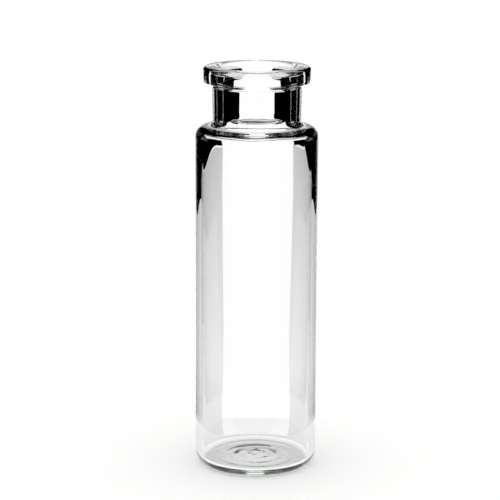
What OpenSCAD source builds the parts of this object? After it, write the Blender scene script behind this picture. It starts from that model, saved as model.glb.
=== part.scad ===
// Crimp-neck sample vial for headspace work: one piece of clear glass,
// drawn from tube, with a formed mouth, neck, shoulder and base.
// Millimetres. +Z is the vial's axis, the origin is the middle of the ring it stands on.

/* [Body] */
// Outside diameter of the tube
body_d = 22.75; // [22.7:0.05:23.5]
// Height from the standing ring to the sealing face
total_h = 75.5; // [45:0.5:82]
// Thickness of the tube wall
wall_t = 1.1; // [0.9:0.05:1.4]

/* [Base] */
// Radius of the outside corner where the wall turns into the base
heel_r = 2.2; // [1.8:0.1:2.6]
// Width of the flat ring that the vial stands on
stand_w = 0.7; // [0.4:0.1:1.2]
// Thickness of the glass in the middle of the base
base_t = 1.2; // [1:0.1:1.6]
// Height that the middle of the underside is pushed up by
push_up_h = 0.4; // [0.3:0.1:0.8]
// Height that the floor inside swells by towards its middle
floor_swell_h = 0.2; // [0.1:0.1:0.3]
// Radius of the inside corner between the wall and the floor
floor_corner_r = 0.7; // [0.6:0.1:1.4]
// Number of rings that the forming tool leaves in the base
ring_count = 4; // [0:1:6]
// Height of those rings
ring_h = 0.04; // [0.02:0.01:0.08]

/* [Shoulder] */
// Height from the top of the shoulder to the sealing face
neck_h = 10.9; // [9.5:0.1:12]
// Outside radius of the shoulder
shoulder_r = 2.2; // [1.8:0.1:2.3]
// Thickness of the glass under the flat of the shoulder
shoulder_t = 1; // [0.9:0.1:1.5]
// Radius of the hollow corner where the shoulder meets the neck
root_r = 0.8; // [0.4:0.1:0.8]
// Radius of the inside edge where the bore opens into the body
throat_r = 2.7; // [1.6:0.1:2.7]

/* [Neck] */
// Outside diameter of the neck under the flange
neck_d = 16.5; // [16.4:0.1:16.6]
// Outside diameter of the waist at the foot of the neck
waist_d = 16.3; // [16:0.1:16.4]
// Diameter of the bore through the neck
bore_d = 12.6; // [12.2:0.1:12.6]

/* [Crimp flange] */
// Outside diameter of the flange that the cap is crimped round, where it is widest
flange_d = 19.8; // [19.7:0.05:20.2]
// Height of the flange from its lower edge to the sealing face
flange_h = 3; // [2.8:0.05:3.1]
// Radius that the outer wall of the flange bulges with, seen in section
bulge_r = 7.5; // [7:0.5:12]
// Depth under the sealing face at which the flange is widest
bulge_drop = 1.2; // [1.1:0.05:1.4]
// Height of the straight band there, which the skirt of the cap bears on
band_h = 0.6; // [0.4:0.1:0.6]
// Radius of the fire-polished top edge of the flange
top_edge_r = 0.65; // [0.5:0.05:0.7]
// Radius of the lower edge of the flange
lower_edge_r = 0.3; // [0.2:0.05:0.35]
// Slope of the underside of the flange, in degrees
underside_slope = 0; // [0:1:4]
// Radius of the hollow corner between the flange and the neck
flange_fillet_r = 1; // [0.6:0.1:1]
// Radius of the rounded edge of the mouth
mouth_r = 1.6; // [0.8:0.1:1.7]

/* [Smoothness] */
// Sides that a full circle is drawn with
circle_sides = 128; // [48:8:256]
// Steps that a quarter-round of the section is drawn with
arc_steps = 10; // [6:1:16]
// Steps that the wavy base and floor are drawn with, for each ring
ring_steps = 7; // [5:1:10]

/* [Hidden] */

body_r = body_d / 2;
inner_r = body_r - wall_t;
waist_r = waist_d / 2;
neck_r = neck_d / 2;
bore_r = bore_d / 2;
flange_r = flange_d / 2;

// The flat ring the vial stands on, and the floor inside
stand_outer_r = body_r - heel_r;
stand_inner_r = stand_outer_r - stand_w;
floor_r = inner_r - floor_corner_r;
floor_edge_z = push_up_h + base_t - floor_swell_h;
wave_steps = ring_steps * (ring_count + 1);

// Levels of the shoulder
shoulder_z = total_h - neck_h;
shoulder_inside_z = shoulder_z - shoulder_t;
shoulder_inside_r = shoulder_r - wall_t;

// The outer wall of the flange bulges below and above its band: the centres in
// the section, and the angles off level at which it runs into the two edges
bulge_x = flange_r - bulge_r;
band_low_z = total_h - bulge_drop - band_h / 2;
band_top_z = total_h - bulge_drop + band_h / 2;
bulge_below = asin((band_low_z - total_h + flange_h - lower_edge_r) / (bulge_r - lower_edge_r));
bulge_above = asin((total_h - top_edge_r - band_top_z) / (bulge_r - top_edge_r));
top_edge_x = bulge_x + (bulge_r - top_edge_r) * cos(bulge_above);

// The lower edge of the flange, and the end of its underside there
edge_x = bulge_x + (bulge_r - lower_edge_r) * cos(bulge_below);
edge_z = total_h - flange_h + lower_edge_r;
slope_end_x = edge_x + lower_edge_r * sin(underside_slope);
slope_end_z = edge_z - lower_edge_r * cos(underside_slope);

// The hollow corner under the flange is tangent to the neck and to that underside
fillet_x = neck_r + flange_fillet_r;
slope_start_x = fillet_x - flange_fillet_r * sin(underside_slope);
slope_drop = (slope_end_x - slope_start_x) * tan(underside_slope);
fillet_z = slope_end_z - slope_drop - flange_fillet_r * cos(underside_slope);

// Points along an arc about [x, z], from one angle to another; an arc that
// carries on from the arc before it has 1 as its first step, not 0
function arc(x, z, radius, from, to, first = 0) =
    [for (i = [first:arc_steps])
        let (a = from + (to - from) * i / arc_steps)
        [x + radius * cos(a), z + radius * sin(a)]];

// A smooth swell: 1 on the axis, level there and at the edge, 0 at the edge
function swell(x, edge) = (1 + cos(180 * x / edge)) / 2;

// The forming rings: full waves that start and end at no height
function rings(x, edge) = (1 - cos(360 * ring_count * x / edge)) / 2;

// Underside, from the axis out to the standing ring
function underside() =
    [for (i = [0:wave_steps])
        let (x = stand_inner_r * i / wave_steps)
        [x, push_up_h * swell(x, stand_inner_r) + ring_h * rings(x, stand_inner_r)]];

// Heel, wall and shoulder, up to the waist of the neck
function outer_body() = concat(
    arc(stand_outer_r, heel_r, heel_r, -90, 0),
    arc(body_r - shoulder_r, shoulder_z - shoulder_r, shoulder_r, 0, 90),
    arc(waist_r + root_r, shoulder_z + root_r, root_r, 270, 180));

// Neck and flange, up to the sealing face and over the edge of the mouth
function finish() = concat(
    arc(fillet_x, fillet_z, flange_fillet_r, 180, 90 + underside_slope),
    arc(edge_x, edge_z, lower_edge_r, 270 + underside_slope, 360 - bulge_below),
    arc(bulge_x, band_low_z, bulge_r, -bulge_below, 0, 1),
    arc(bulge_x, band_top_z, bulge_r, 0, bulge_above),
    arc(top_edge_x, total_h - top_edge_r, top_edge_r, bulge_above, 90, 1),
    arc(bore_r + mouth_r, total_h - mouth_r, mouth_r, 90, 180));

// Bore, inside of the shoulder, wall and corner, down to the floor
function cavity_wall() = concat(
    arc(bore_r + throat_r, shoulder_inside_z + throat_r, throat_r, 180, 270),
    arc(inner_r - shoulder_inside_r, shoulder_inside_z - shoulder_inside_r, shoulder_inside_r, 90, 0),
    arc(floor_r, floor_edge_z + floor_corner_r, floor_corner_r, 0, -90));

// Floor, from the corner back to the axis; its rings lie against those outside
function floor_inside() =
    [for (i = [wave_steps - 1:-1:0])
        let (x = floor_r * i / wave_steps)
        [x, floor_edge_z + floor_swell_h * swell(x, floor_r) - ring_h * rings(x, floor_r)]];

// Half of the section through the glass, turned about the axis
module glass_vial() {
    color([0.86, 0.91, 0.90, 0.45])
        rotate_extrude($fn = circle_sides)
            polygon(concat(underside(), outer_body(), finish(), cavity_wall(), floor_inside()));
}

glass_vial();
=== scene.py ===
# The frame: the imported vial, one piece of glass that stands at the origin with its axis upright.
# The glass made below takes its place, which is hidden, and rides on the body root.
import math

import bpy
from mathutils import Matrix, Vector


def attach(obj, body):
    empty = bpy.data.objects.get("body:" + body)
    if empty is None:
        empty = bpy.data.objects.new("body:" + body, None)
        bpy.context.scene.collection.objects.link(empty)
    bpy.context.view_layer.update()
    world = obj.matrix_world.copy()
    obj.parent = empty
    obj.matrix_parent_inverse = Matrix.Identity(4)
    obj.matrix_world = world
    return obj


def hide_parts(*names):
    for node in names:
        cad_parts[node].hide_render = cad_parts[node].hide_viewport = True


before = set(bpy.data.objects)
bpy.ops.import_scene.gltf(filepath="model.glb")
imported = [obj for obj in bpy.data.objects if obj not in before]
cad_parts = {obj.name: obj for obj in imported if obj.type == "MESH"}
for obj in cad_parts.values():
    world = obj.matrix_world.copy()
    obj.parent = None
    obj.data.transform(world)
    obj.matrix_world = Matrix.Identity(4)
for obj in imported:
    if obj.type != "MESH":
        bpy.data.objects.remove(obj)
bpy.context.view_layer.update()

# The tube: one length of clear borosilicate tube, whose base, shoulder, neck and crimp flange are
# formed over a flame while it turns. Nothing is joined on, so half of one section, in millimetres
# and turned about the axis, gives the outside and the inside of the whole vial.
body_r = 22.75 / 2
total_h = 75.5
wall_t = 1.1
inner_r = body_r - wall_t

# The base: a heel turned in from the wall, a flat standing ring, and a middle pushed up by the
# forming tool, which leaves shallow rings in the soft glass under and over it.
heel_r = 2.2
stand_w = 0.7
base_t = 1.2
push_up_h = 0.4
floor_swell_h = 0.2
floor_corner_r = 0.7
ring_count = 4
ring_h = 0.04
wave_steps = 50
stand_outer_r = body_r - heel_r
stand_inner_r = stand_outer_r - stand_w
floor_r = inner_r - floor_corner_r
floor_edge_z = push_up_h + base_t - floor_swell_h


def swell(x, edge):
    """1 on the axis and 0 at the edge, level at both."""
    return (1 + math.cos(math.pi * x / edge)) / 2


def forming_rings(x, edge):
    """The waves that the forming tool leaves, which start and end at no height."""
    return (1 - math.cos(2 * math.pi * ring_count * x / edge)) / 2


underside = []
for i in range(wave_steps + 1):
    x = stand_inner_r * i / wave_steps
    z = push_up_h * swell(x, stand_inner_r) + ring_h * forming_rings(x, stand_inner_r)
    underside.append((x, z))
floor_inside = []
for i in range(wave_steps - 1, -1, -1):
    x = floor_r * i / wave_steps
    z = floor_edge_z + floor_swell_h * swell(x, floor_r) - ring_h * forming_rings(x, floor_r)
    floor_inside.append((x, z))

# The shoulder and neck: the tube's end softened, necked down over a mandrel and rolled, which
# leaves a round shoulder, a slight waist at the foot of the neck and a flared throat inside.
neck_h = 10.9
shoulder_r = 2.2
shoulder_t = 1.15
shoulder_inside_r = 1.25
root_r = 0.8
throat_r = 2.7
waist_r = 16.3 / 2
neck_r = 16.5 / 2
bore_r = 12.6 / 2
shoulder_z = total_h - neck_h
shoulder_inside_z = shoulder_z - shoulder_t

# The crimp flange: glass pressed between rollers to a bulging wall with a straight band round it,
# for the skirt of a cap to bear on, then fire-polished so that the top edge and the mouth go round.
flange_r = 19.8 / 2
flange_h = 3.0
bulge_r = 7.5
bulge_drop = 1.2
band_h = 0.6
top_edge_r = 0.65
lower_edge_r = 0.3
flange_fillet_r = 1.0
mouth_r = 1.6
bulge_x = flange_r - bulge_r
band_low_z = total_h - bulge_drop - band_h / 2
band_top_z = total_h - bulge_drop + band_h / 2
edge_z = total_h - flange_h + lower_edge_r
below_band = math.degrees(math.asin((band_low_z - edge_z) / (bulge_r - lower_edge_r)))
above_band = math.degrees(math.asin((total_h - top_edge_r - band_top_z) / (bulge_r - top_edge_r)))
edge_x = bulge_x + (bulge_r - lower_edge_r) * math.cos(math.radians(below_band))
top_edge_x = bulge_x + (bulge_r - top_edge_r) * math.cos(math.radians(above_band))


def arc(x, z, radius, start, end, steps, first=0):
    """Points along an arc about (x, z), in degrees. first is 1 where it carries on from the last."""
    angles = [math.radians(start + (end - start) * i / steps) for i in range(first, steps + 1)]
    return [(x + radius * math.cos(a), z + radius * math.sin(a)) for a in angles]


# The outside from the standing ring up, the mouth, and the cavity down to the floor. The number of
# steps in each arc is higher where the arc is large or light bends most in it.
outside = (
    arc(stand_outer_r, heel_r, heel_r, -90, 0, 16)
    + arc(body_r - shoulder_r, shoulder_z - shoulder_r, shoulder_r, 0, 90, 18)
    + arc(waist_r + root_r, shoulder_z + root_r, root_r, 270, 180, 8)
    + arc(neck_r + flange_fillet_r, total_h - flange_h - flange_fillet_r, flange_fillet_r, 180, 90, 12)
    + arc(edge_x, edge_z, lower_edge_r, 270, 360 - below_band, 10)
    + arc(bulge_x, band_low_z, bulge_r, -below_band, 0, 10, 1)
    + arc(bulge_x, band_top_z, bulge_r, 0, above_band, 4)
    + arc(top_edge_x, total_h - top_edge_r, top_edge_r, above_band, 90, 18, 1)
)
mouth = arc(bore_r + mouth_r, total_h - mouth_r, mouth_r, 90, 180, 22)
cavity = (
    arc(bore_r + throat_r, shoulder_inside_z + throat_r, throat_r, 180, 270, 20)
    + arc(inner_r - shoulder_inside_r, shoulder_inside_z - shoulder_inside_r,
          shoulder_inside_r, 90, 0, 14)
    + arc(floor_r, floor_edge_z + floor_corner_r, floor_corner_r, 0, -90, 16)
)

# The worked glass: flame-worked glass is never quite even. Some hundredths of a millimetre of oval,
# of swirls from the forming tool, of marks from the shoulder's wheel and of sinking at the mouth are
# put on as the section is turned. A whole number in front of the angle is waves in a turn.
MM = 0.001
turns = 360
floor_mark = 0.024
floor_calm_r = 1.5
underside_mark = 0.02
oval = 0.012
oval_from_h = 3.0
mouth_wave = 0.03
wall_wave = 0.004
wave_calm_low = 6.0
wave_calm_high = 4.0
shoulder_wave = 0.05
shoulder_wave_reach = 1.6
wheel_above = 0.5
rolled_up = 0.6


def swirled_underside(r, z, a):
    """Swirls of the forming tool, which only ever press up into the glass."""
    fade = 1 - (r / stand_inner_r) ** 2
    return r, z + underside_mark * fade * (1 + math.sin(2.4 * r - 2 * a + 0.9 * math.sin(a)))


def oval_outside(r, z, a):
    """Drawn tube is slightly oval, down to the ring that it stands on, which stays flat."""
    return r - oval * (0.5 - 0.5 * math.cos(2 * a - 0.8)) * min(z / oval_from_h, 1), z


def sunk_mouth(r, z, a):
    """The sealing face sinks a little where the flame lingered."""
    sunk = (0.5 + 0.5 * math.sin(2 * a + 1.2)) * (0.7 + 0.3 * math.sin(5 * a))
    return r, z - mouth_wave * sunk * max(1 - (total_h - z) / mouth_r, 0)


def uneven_cavity(r, z, a):
    """The wall's own unevenness, and the marks of the wheel inside the shoulder."""
    calm_low = min((z - floor_edge_z) / wave_calm_low, 1)
    calm_high = min((total_h - mouth_r - z) / wave_calm_high, 1)
    wave = math.sin(3 * a + 0.05 * z) + 0.5 * math.sin(7 * a - 0.11 * z + 1)
    r += wall_wave * calm_low * calm_high * wave
    near_wheel = math.exp(-((z - shoulder_inside_z - wheel_above) / shoulder_wave_reach) ** 2)
    wheel_marks = math.sin(5 * a + 0.6) + 0.7 * math.sin(9 * a + 1.3 * z)
    rolled = shoulder_wave * near_wheel * wheel_marks
    return r - max(rolled, 0), z + rolled_up * rolled


def swirled_floor(r, z, a):
    """The same swirls as underneath, free to rise and fall."""
    fade = (1 - (r / floor_r) ** 2) * min(r / floor_calm_r, 1)
    swirl = math.sin(2.9 * r + a + 0.8 * math.sin(2 * a)) * (0.6 + 0.4 * math.sin(3 * a + 0.7))
    return r, z + floor_mark * fade * swirl


def turned_skin(name, parts):
    """A closed skin from axis to axis, from parts of a section that are each worked their own way."""
    verts, rings_made = [], []
    for points, worked in parts:
        for r, z in points:
            on_axis = r < 1e-6
            rings_made.append([])
            for k in range(1 if on_axis else turns):
                a = 2 * math.pi * k / turns
                worked_r, worked_z = worked(r, z, a)
                rings_made[-1].append(len(verts))
                across = 0.0 if on_axis else worked_r
                verts.append((across * math.cos(a), across * math.sin(a), worked_z))
    faces = []
    for lower, upper in zip(rings_made, rings_made[1:]):
        for k in range(turns):
            n = (k + 1) % turns
            if len(lower) == 1:
                faces.append((lower[0], upper[n], upper[k]))
            elif len(upper) == 1:
                faces.append((lower[k], lower[n], upper[0]))
            else:
                faces.append((lower[k], lower[n], upper[n], upper[k]))
    mesh = bpy.data.meshes.new(name)
    mesh.from_pydata([(x * MM, y * MM, z * MM) for x, y, z in verts], [], faces)
    mesh.shade_smooth()
    mesh.update()
    obj = bpy.data.objects.new(name, mesh)
    bpy.context.scene.collection.objects.link(obj)
    return obj


def linear(hex_colour, alpha=1.0):
    """An sRGB hex colour as the linear numbers that a shader takes."""
    parts = [int(hex_colour[i:i + 2], 16) / 255 for i in (1, 3, 5)]
    return [c / 12.92 if c <= 0.04045 else ((c + 0.055) / 1.055) ** 2.4 for c in parts] + [alpha]


def node(tree, kind, settings=None, **sockets):
    """Adds a node with its properties. A socket, by name or as i0, takes a value or a link."""
    made = tree.nodes.new(kind)
    for key, value in (settings or {}).items():
        setattr(made, key, value)
    for key, value in sockets.items():
        numbered = key[0] == "i" and key[1:].isdigit()
        into = made.inputs[int(key[1:]) if numbered else key.replace("_", " ")]
        if isinstance(value, bpy.types.NodeSocket):
            tree.links.new(value, into)
        else:
            into.default_value = value
    return made


def new_material(name):
    """A material with an empty node tree, and that tree."""
    made = bpy.data.materials.new(name)
    made.use_nodes = True
    made.node_tree.nodes.clear()
    return made, made.node_tree


# Fire-polished borosilicate glass, drawn as tube: to the eye colourless and glossy without haze, as
# its iron only tints light green that runs far along the glass, and the ring it stands on is scuffed.
glass_ior = 1.473
iron_tint = "#95DF9E"
iron_density = 5.0
# Drawing leaves lines some 3 mm apart and 40 mm long, a thousandth of a millimetre deep.
draw_lines = (1 / (3 * MM), 1 / (3 * MM), 1 / (40 * MM))
draw_depth = 0.001 * MM
# Scratches from standing and sliding are 0.05 mm wide, too fine to show, so they are drawn at 0.3 mm.
scuff_size = 0.3 * MM
scuffed_to = 0.05 * MM
glossy_from = 0.25 * MM
scuffed_roughness = 0.35

clear_glass, tree = new_material("fire_polished_borosilicate")
place = node(tree, "ShaderNodeTexCoord").outputs["Object"]
along_tube = node(tree, "ShaderNodeMapping", Vector=place, Scale=draw_lines)
lines = node(tree, "ShaderNodeTexNoise", Vector=along_tube.outputs[0], Scale=1.0, Detail=1.0)
drawn = node(tree, "ShaderNodeBump", Strength=1.0, Distance=draw_depth, Height=lines.outputs["Fac"])
height = node(tree, "ShaderNodeSeparateXYZ", Vector=place).outputs["Z"]
worn = node(tree, "ShaderNodeMapRange", Value=height, From_Min=scuffed_to, From_Max=glossy_from,
            To_Min=scuffed_roughness, To_Max=0.0)
specks = node(tree, "ShaderNodeTexNoise", Vector=place, Scale=1 / scuff_size, Detail=2.0)
scuffed = node(tree, "ShaderNodeMath", {"operation": "MULTIPLY"},
               i0=worn.outputs[0], i1=specks.outputs["Fac"])
shader = node(tree, "ShaderNodeBsdfPrincipled", Base_Color=linear("#FFFFFF"), Normal=drawn.outputs[0],
              Roughness=scuffed.outputs[0], IOR=glass_ior, Transmission_Weight=1.0)
iron = node(tree, "ShaderNodeVolumeAbsorption", Color=linear(iron_tint), Density=iron_density)
node(tree, "ShaderNodeOutputMaterial", Surface=shader.outputs[0], Volume=iron.outputs[0])

vial = turned_skin("vial_glass", (
    (underside, swirled_underside), (outside, oval_outside), (mouth, sunk_mouth),
    (cavity, uneven_cavity), (floor_inside, swirled_floor)))
vial.data.materials.append(clear_glass)
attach(vial, "root")
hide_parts("glass_vial")

# The table: a plain sheet of matt white paper under the vial, with the soft shadow of the glass. In
# the glass, the sheet shows painted light in place of the cards' light: a painted bright ring where
# the heel gathers light, painted shade that leaves it a little grey near the vial, and painted dimming
# that makes it greyer with distance and to the side of each card.
card_count = 8
paper_level = 1.0
near_level = 0.80
near_rise = 3.0
near_reach = 0.030
dim_away = 0.6
dim_aside = 2.6
lit_again_aside = 0.67
gathered_from = 0.0096
gathered_to = 0.0128
gathered_level = 1.05
under_base_level = 1.0
base_shade = 0.2
paper_glow = 0.16
paper_white = "#F3F3F2"
paper_sides = 96
paper_growth = 1.08
paper_grown_to = 0.5
paper_r = 3.0
table_z = -0.02 * MM


def off_card(bearing):
    """The angle from a bearing to the nearest of the white cards."""
    step = 2 * math.pi / card_count
    return abs((bearing + step / 2) % step - step / 2)


def painted_light_on_paper(reach, bearing):
    """The painted light level that the paper shows in the glass, at a distance from the vial's axis.
    """
    if reach < gathered_from:
        return under_base_level - base_shade * (reach / gathered_from) ** 2
    if reach < gathered_to:
        return gathered_level
    off = off_card(bearing)
    aside = reach * math.sin(min(off, lit_again_aside * (math.pi / card_count - off)))
    lit = paper_level - dim_away * max(reach - near_reach, 0) - dim_aside * aside
    return min(lit, near_level + near_rise * (reach - gathered_to))


def flat_mesh(name, verts, faces):
    """A piece of the set made of flat faces."""
    mesh = bpy.data.meshes.new(name)
    mesh.from_pydata(verts, [], faces)
    obj = bpy.data.objects.new(name, mesh)
    bpy.context.scene.collection.objects.link(obj)
    return obj


def ring_of_faces(name, rings, sides):
    """Faces between rings about the axis. A ring is a function from bearing to reach and height."""
    verts = []
    for ring in rings:
        for k in range(sides):
            b = 2 * math.pi * k / sides
            reach, z = ring(b)
            verts.append((reach * math.sin(b), reach * math.cos(b), z))
    faces = []
    for start in range(0, (len(rings) - 1) * sides, sides):
        for k in range(sides):
            n = (k + 1) % sides
            faces.append((start + k, start + n, start + sides + n, start + sides + k))
    return flat_mesh(name, verts, faces)


# Rings of the sheet: close together at the two limits of the painted ring of gathered light, and wider
# further out.
reaches = [0.5 * MM, 2.5 * MM, 5 * MM, 7.5 * MM, gathered_from - 0.3 * MM, gathered_from + 0.1 * MM,
           gathered_to - 0.3 * MM, gathered_to + 0.1 * MM]
while reaches[-1] < paper_grown_to:
    reaches.append(reaches[-1] * paper_growth)
reaches.append(paper_r)
table = ring_of_faces("table_sheet", [lambda b, r=r: (r, table_z) for r in reaches], paper_sides)
bearings = [2 * math.pi * k / paper_sides for k in range(paper_sides)]
# Painted light and shade: the levels that the paper glows with in the glass.
levels = [painted_light_on_paper(r, b) for r in reaches for b in bearings]
light = table.data.attributes.new("light", "FLOAT", "POINT")
light.data.foreach_set("value", levels)

# Uncoated white paper, rolled: matt, with no gloss and almost no colour. The camera sees the bare
# sheet and its shadow. Rays in the glass see it glow at the painted light level, and at least white
# where they bounced off the paper first, which is painted light that keeps the glass's shadow faint.
white_paper, tree = new_material("matt_white_paper_with_painted_light")
path = node(tree, "ShaderNodeLightPath").outputs
light = node(tree, "ShaderNodeAttribute", {"attribute_name": "light"}).outputs["Fac"]
bounced = node(tree, "ShaderNodeMath", {"operation": "GREATER_THAN"},
               i0=path["Diffuse Depth"], i1=0.5)
light = node(tree, "ShaderNodeMath", {"operation": "MAXIMUM"}, i0=light, i1=bounced.outputs[0])
painted_light_in_glass = node(tree, "ShaderNodeEmission", Color=linear("#FFFFFF"), Strength=light.outputs[0])
paper = node(tree, "ShaderNodeBsdfDiffuse", Color=linear(paper_white))
glow = node(tree, "ShaderNodeEmission", Color=linear("#FFFFFF"), Strength=paper_glow)
bare = node(tree, "ShaderNodeAddShader", i0=paper.outputs[0], i1=glow.outputs[0])
in_glass = node(tree, "ShaderNodeMath", {"operation": "MAXIMUM"},
                i0=path["Is Glossy Ray"], i1=path["Is Transmission Ray"])
both = node(tree, "ShaderNodeMixShader",
            i0=in_glass.outputs[0], i1=bare.outputs[0], i2=painted_light_in_glass.outputs[0])
node(tree, "ShaderNodeOutputMaterial", Surface=both.outputs[0])
table.data.materials.append(white_paper)

# The white cards: strips of white board that stand round the vial, as they do for any clear glass.
# Each shows as one clean white stripe through both walls. The one straight behind is bent forward
# along the table to the base, and over the top for the mouth and the neck.
card_d = 0.100
card_h = 0.300
# A little above white, as the glass reflects and takes some 14% of what comes through it.
card_level = 1.16
foot_level = 1.0
bend_z = 0.035
straight_z = 0.055
wide_z = 0.068
widens_over = 0.002
head_z = 0.120
bottom_half = 0.0137
bend_half = 0.0150
top_half = 0.0141
wide_half = 0.030
corner_half = 0.005
core_half = 0.0092
head_half = 0.016
lying_z = 0.8 * MM
behind_card = 1.0 * MM

# Which rays in the glass a piece of the set shows to, told by how often they went through a surface
# or off one: straight through both walls, along the edge of one wall, or turned back inside it. Real
# cards show to them all, and this sorting is only for the picture. It is no part of the vial.
inside_glass = ("Transmission Depth", "GREATER_THAN", 0.5)
off_glass = ("Transmission Depth", "LESS_THAN", 0.5)
through_walls = ("Transmission Depth", "GREATER_THAN", 2.5)
through_edge = ("Transmission Depth", "LESS_THAN", 2.5)
straight = ("Glossy Depth", "LESS_THAN", 0.5)
mirrored = ("Glossy Depth", "GREATER_THAN", 0.5)
mirrored_twice = ("Glossy Depth", "GREATER_THAN", 1.5)


def seen_in_glass_only(obj, material):
    """Keeps a card or cloth out of the picture and off the paper."""
    obj.data.materials.append(material)
    obj.visible_camera = False
    obj.visible_diffuse = False
    obj.visible_shadow = False
    obj.visible_volume_scatter = False


def set_finish(name, level, *rules):
    """A plain white, grey or black finish, for the rays that keep to all the rules. Others pass."""
    made, tree = new_material(name)
    path = node(tree, "ShaderNodeLightPath").outputs
    shown = 1.0
    for depth, operation, limit in rules:
        kept = node(tree, "ShaderNodeMath", {"operation": operation}, i0=path[depth], i1=limit)
        shown = node(tree, "ShaderNodeMath", {"operation": "MULTIPLY"}, i0=shown, i1=kept.outputs[0])
        shown = shown.outputs[0]
    clear = node(tree, "ShaderNodeBsdfTransparent")
    lit = node(tree, "ShaderNodeEmission", Color=linear("#FFFFFF"), Strength=level)
    mix = node(tree, "ShaderNodeMixShader", i0=shown, i1=clear.outputs[0], i2=lit.outputs[0])
    node(tree, "ShaderNodeOutputMaterial", Surface=mix.outputs[0])
    return made


def card_strip(name, bearing, profile, material):
    """A strip of card on a bearing, from its distances, half widths and heights along it."""
    out = (math.sin(bearing), math.cos(bearing))
    verts = [(out[0] * d + out[1] * w, out[1] * d - out[0] * w, z)
             for d, half, z in profile for w in (-half, half)]
    faces = [(2 * i, 2 * i + 1, 2 * i + 3, 2 * i + 2) for i in range(len(profile) - 1)]
    seen_in_glass_only(flat_mesh(name, verts, faces), material)


board = set_finish("white_board", card_level, inside_glass)
board_foot = set_finish("white_board_foot", foot_level, inside_glass)
board_in_edge = set_finish("white_board_through_edge", card_level, inside_glass, through_edge)
board_in_walls = set_finish("white_board_through_walls", card_level, through_walls, straight)

# Each profile is a list of distance from the axis, half width and height, from one end of the card.
foot_near = [(0.0128, 0.0070, lying_z), (0.018, 0.0078, lying_z), (0.024, 0.0083, lying_z)]
foot_far = [(0.024, 0.0083, lying_z), (0.026, 0.0086, lying_z), (card_d, bottom_half, lying_z)]
upright = [(card_d, bottom_half, 0.0), (card_d, bend_half, bend_z), (card_d, top_half, straight_z),
           (card_d, top_half, wide_z - widens_over), (card_d, wide_half, wide_z),
           (card_d, wide_half, card_h)]
over_top = [(card_d, 0.06, card_h), (0.0, 0.10, 0.36), (-0.2, 0.12, 0.32), (-0.3, 0.17, 0.20)]
edge_d = card_d + behind_card
core = [(edge_d, core_half, 0.0), (edge_d, core_half, head_z)]
head = [(edge_d, head_half, head_z), (edge_d, head_half, card_h)]
corner_card = [(card_d, corner_half, 0.0), (card_d, corner_half, card_h)]

card_strip("card_back_foot_near", 0.0, foot_near, board_foot)
card_strip("card_back_foot", 0.0, foot_far, board)
card_strip("card_back", 0.0, upright, board_in_walls)
card_strip("card_back_over_top", 0.0, over_top, board)
card_strip("card_back_core", 0.0, core, board_in_edge)
card_strip("card_back_head", 0.0, head, board_in_edge)
for c in range(1, card_count):
    bearing = 2 * math.pi * c / card_count
    if c % 2:
        card_strip("card_corner_%d" % c, bearing, corner_card, board_in_walls)
    else:
        card_strip("card_side_%d_foot" % c, bearing, foot_near + foot_far[1:], board_in_walls)
        card_strip("card_side_%d" % c, bearing, upright, board_in_walls)

# The black cloth: matt black cloth that lies on the table where the white paper ends, with a lit
# rim along its edge. It gives the glass its dark corners and edges, as black flags do. Each ring of
# cloth lies in a layer of its own, a little over the last.
cloth_r = 0.9
cloth_z = 0.1 * MM
cloth_sides = 96
paper_end_r = 0.396
paper_corners = 4
corner_pull = 0.08
corner_round = 1.5
lit_rim = 0.006
edge_end_r = 0.302
edge_pull = 0.045
mirror_end_r = 0.030
open_behind = math.radians(26)
front_half = 1.0
front_layer = 5


def between_cards(bearing):
    """0 on the bearing of a card, 1 halfway to the next."""
    return (1 - math.cos(card_count * bearing)) / 2


def paper_end(bearing):
    """How far the paper goes on a bearing before the cloth, which rounds its corners off."""
    to_corner = (1 - math.cos(paper_corners * bearing)) / 2
    return paper_end_r - corner_pull * to_corner ** corner_round


def behind(bearing):
    """Whether a bearing is in the narrow part straight behind the vial."""
    return min(bearing, 2 * math.pi - bearing) < open_behind


def lying_ring(name, start, end, layer, finish):
    """A ring that lies on the table, from one reach to another, in its layer of the cloths."""
    z = cloth_z * layer
    ring = ring_of_faces(name, [lambda b: (start(b), z), lambda b: (end(b), z)], cloth_sides)
    seen_in_glass_only(ring, finish)


lying_ring("lit_paper_edge", lambda b: paper_end(b) - lit_rim, paper_end, 1,
           set_finish("lit_paper_edge", 1.0, through_walls, straight))
lying_ring("cloth_beyond_paper", paper_end, lambda b: cloth_r, 1,
           set_finish("black_cloth_on_table", 0.0, inside_glass))
lying_ring("cloth_through_edge", lambda b: edge_end_r - edge_pull * between_cards(b),
           lambda b: cloth_r, 2, set_finish("black_cloth_through_edge", 0.0, through_edge))
lying_ring("cloth_in_reflections", lambda b: mirror_end_r, lambda b: cloth_r, 3,
           set_finish("black_cloth_in_reflections", 0.0, through_walls, mirrored))
lying_ring("cloth_outside", lambda b: cloth_r if behind(b) else mirror_end_r, lambda b: cloth_r, 4,
           set_finish("black_cloth_outside", 0.0, off_glass))
lying_ring("paper_outside", lambda b: mirror_end_r if behind(b) else cloth_r, lambda b: cloth_r, 4,
           set_finish("white_paper_outside", 1.0, off_glass))
lying_ring("cloth_in_edges", lambda b: mirror_end_r, lambda b: cloth_r, 6,
           set_finish("black_cloth_in_edges", 0.0, through_edge, mirrored_twice))
front_z = front_layer * cloth_z
front = [(-front_half, -front_half, front_z), (front_half, -front_half, front_z),
         (front_half, -mirror_end_r, front_z), (-front_half, -mirror_end_r, front_z)]
seen_in_glass_only(flat_mesh("cloth_in_front", front, [(0, 1, 2, 3)]),
                   set_finish("black_cloth_in_front", 0.0, mirrored))

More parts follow.
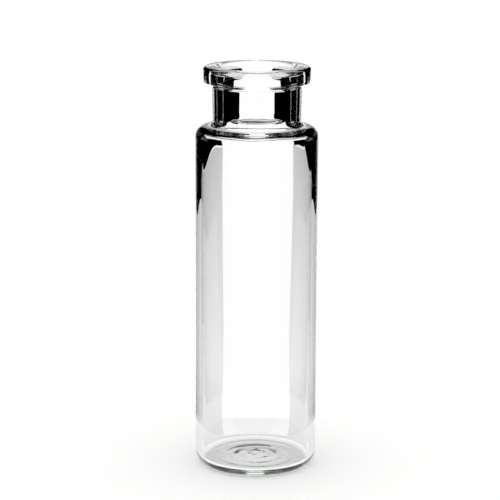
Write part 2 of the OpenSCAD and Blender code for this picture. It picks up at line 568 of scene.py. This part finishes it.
# The tent: the same black cloth hung in a dome round the table, with two dim grey panels at the
# sides, and a pale backdrop behind that only shows in what the outside of the glass reflects.
tent_tilts = (0, 15, 30, 45, 60, 75, 89.9)
tent_sunk = 0.01
panel_steps = 12
side_level = 0.45
side_bearings = (42, 68)
side_tilts = (11, 24)
side_r = 0.84
backdrop_level = 0.8
backdrop_bearing = 12
backdrop_tilts = (2, 30)
backdrop_r = 0.8


def tent_ring(tilt):
    """A level ring of the tent, at a tilt in degrees above the table."""
    t = math.radians(tilt)
    return lambda b: (cloth_r * math.cos(t), cloth_r * math.sin(t) - tent_sunk)


def tent_panel(name, tilts, bearings, radius, finish):
    """A panel that follows the tent, between two tilts and two bearings in degrees."""
    verts, faces = [], []
    for i in range(panel_steps + 1):
        t = math.radians(tilts[0] + (tilts[1] - tilts[0]) * i / panel_steps)
        for k in range(panel_steps + 1):
            b = math.radians(bearings[0] + (bearings[1] - bearings[0]) * k / panel_steps)
            out = radius * math.cos(t)
            verts.append((out * math.sin(b), out * math.cos(b), radius * math.sin(t)))
    for i in range(panel_steps):
        for k in range(panel_steps):
            at = i * (panel_steps + 1) + k
            faces.append((at, at + 1, at + panel_steps + 2, at + panel_steps + 1))
    seen_in_glass_only(flat_mesh(name, verts, faces), finish)


# Black cotton velvet, woven with a pile: it sends almost nothing back, so it shows as plain black in
# the glass. To rays that bounced off the paper it glows white at a strength of one. This is painted
# light that keeps the vial's shadow on the paper faint.
velvet_with_painted_glow, tree = new_material("black_velvet_with_painted_glow")
path = node(tree, "ShaderNodeLightPath").outputs
bounced = node(tree, "ShaderNodeMath", {"operation": "GREATER_THAN"},
               i0=path["Diffuse Depth"], i1=0.5)
shown = node(tree, "ShaderNodeEmission", Color=linear("#FFFFFF"), Strength=bounced.outputs[0])
node(tree, "ShaderNodeOutputMaterial", Surface=shown.outputs[0])
tent = ring_of_faces("black_tent", [tent_ring(t) for t in tent_tilts], cloth_sides)
seen_in_glass_only(tent, velvet_with_painted_glow)

side_grey = set_finish("grey_panel", side_level, inside_glass, through_edge)
tent_panel("panel_left", side_tilts, (-side_bearings[1], -side_bearings[0]), side_r, side_grey)
tent_panel("panel_right", side_tilts, side_bearings, side_r, side_grey)
tent_panel("backdrop", backdrop_tilts, (-backdrop_bearing, backdrop_bearing), backdrop_r,
           set_finish("white_backdrop", backdrop_level, off_glass))

# The studio's light: even white air all round at a plain level of one, so that the table is lit softly
# from every side and the vial leaves only a faint shadow at its foot. The painted white glow of the
# tent and the paper to bounced rays makes that shadow fainter still.
world = bpy.data.worlds.new("studio")
bpy.context.scene.world = world
world.use_nodes = True
tree = world.node_tree
tree.nodes.clear()
white_air = node(tree, "ShaderNodeBackground", Color=linear("#FFFFFF"), Strength=1.0)
node(tree, "ShaderNodeOutputWorld", Surface=white_air.outputs[0])

# The camera: 350 mm from the middle of the vial and a little above it, with a long lens, so that
# one looks gently down into the mouth. The frame is moved by turning the camera, without any shift.
aim = (0.0, 0.0, 0.03775)
camera_distance = 0.350
camera_tilt = math.radians(13.1)
camera_roll = math.radians(0.28)
frame_px = 500
focal_px = 1870.4
aim_px = (256.2, 267.0)
sensor_mm = 36

lens = bpy.data.cameras.new("camera")
lens.sensor_width = sensor_mm
lens.lens = focal_px / frame_px * sensor_mm
lens.clip_start = 0.01
lens.clip_end = 20
camera = bpy.data.objects.new("camera", lens)
bpy.context.scene.collection.objects.link(camera)
away = Vector((0.0, -math.cos(camera_tilt), math.sin(camera_tilt)))
camera.location = Vector(aim) + away * camera_distance
look = (-away).to_track_quat("-Z", "Y").to_matrix()
turn = Matrix.Rotation(math.atan((aim_px[0] - frame_px / 2) / focal_px), 3, "Y")
tip = Matrix.Rotation(math.atan((aim_px[1] - frame_px / 2) / focal_px), 3, "X")
level = Matrix.Rotation(camera_roll, 3, "Z")
camera.rotation_euler = (look @ level @ turn @ tip).to_euler()
bpy.context.scene.camera = camera

# Glass needs more bounces than a plain scene: in through one wall, across, and out of the other.
glass_bounces = 14
cycles = bpy.context.scene.cycles
cycles.max_bounces = cycles.glossy_bounces = cycles.transmission_bounces = glass_bounces
bpy.context.scene.view_settings.view_transform = "Standard"
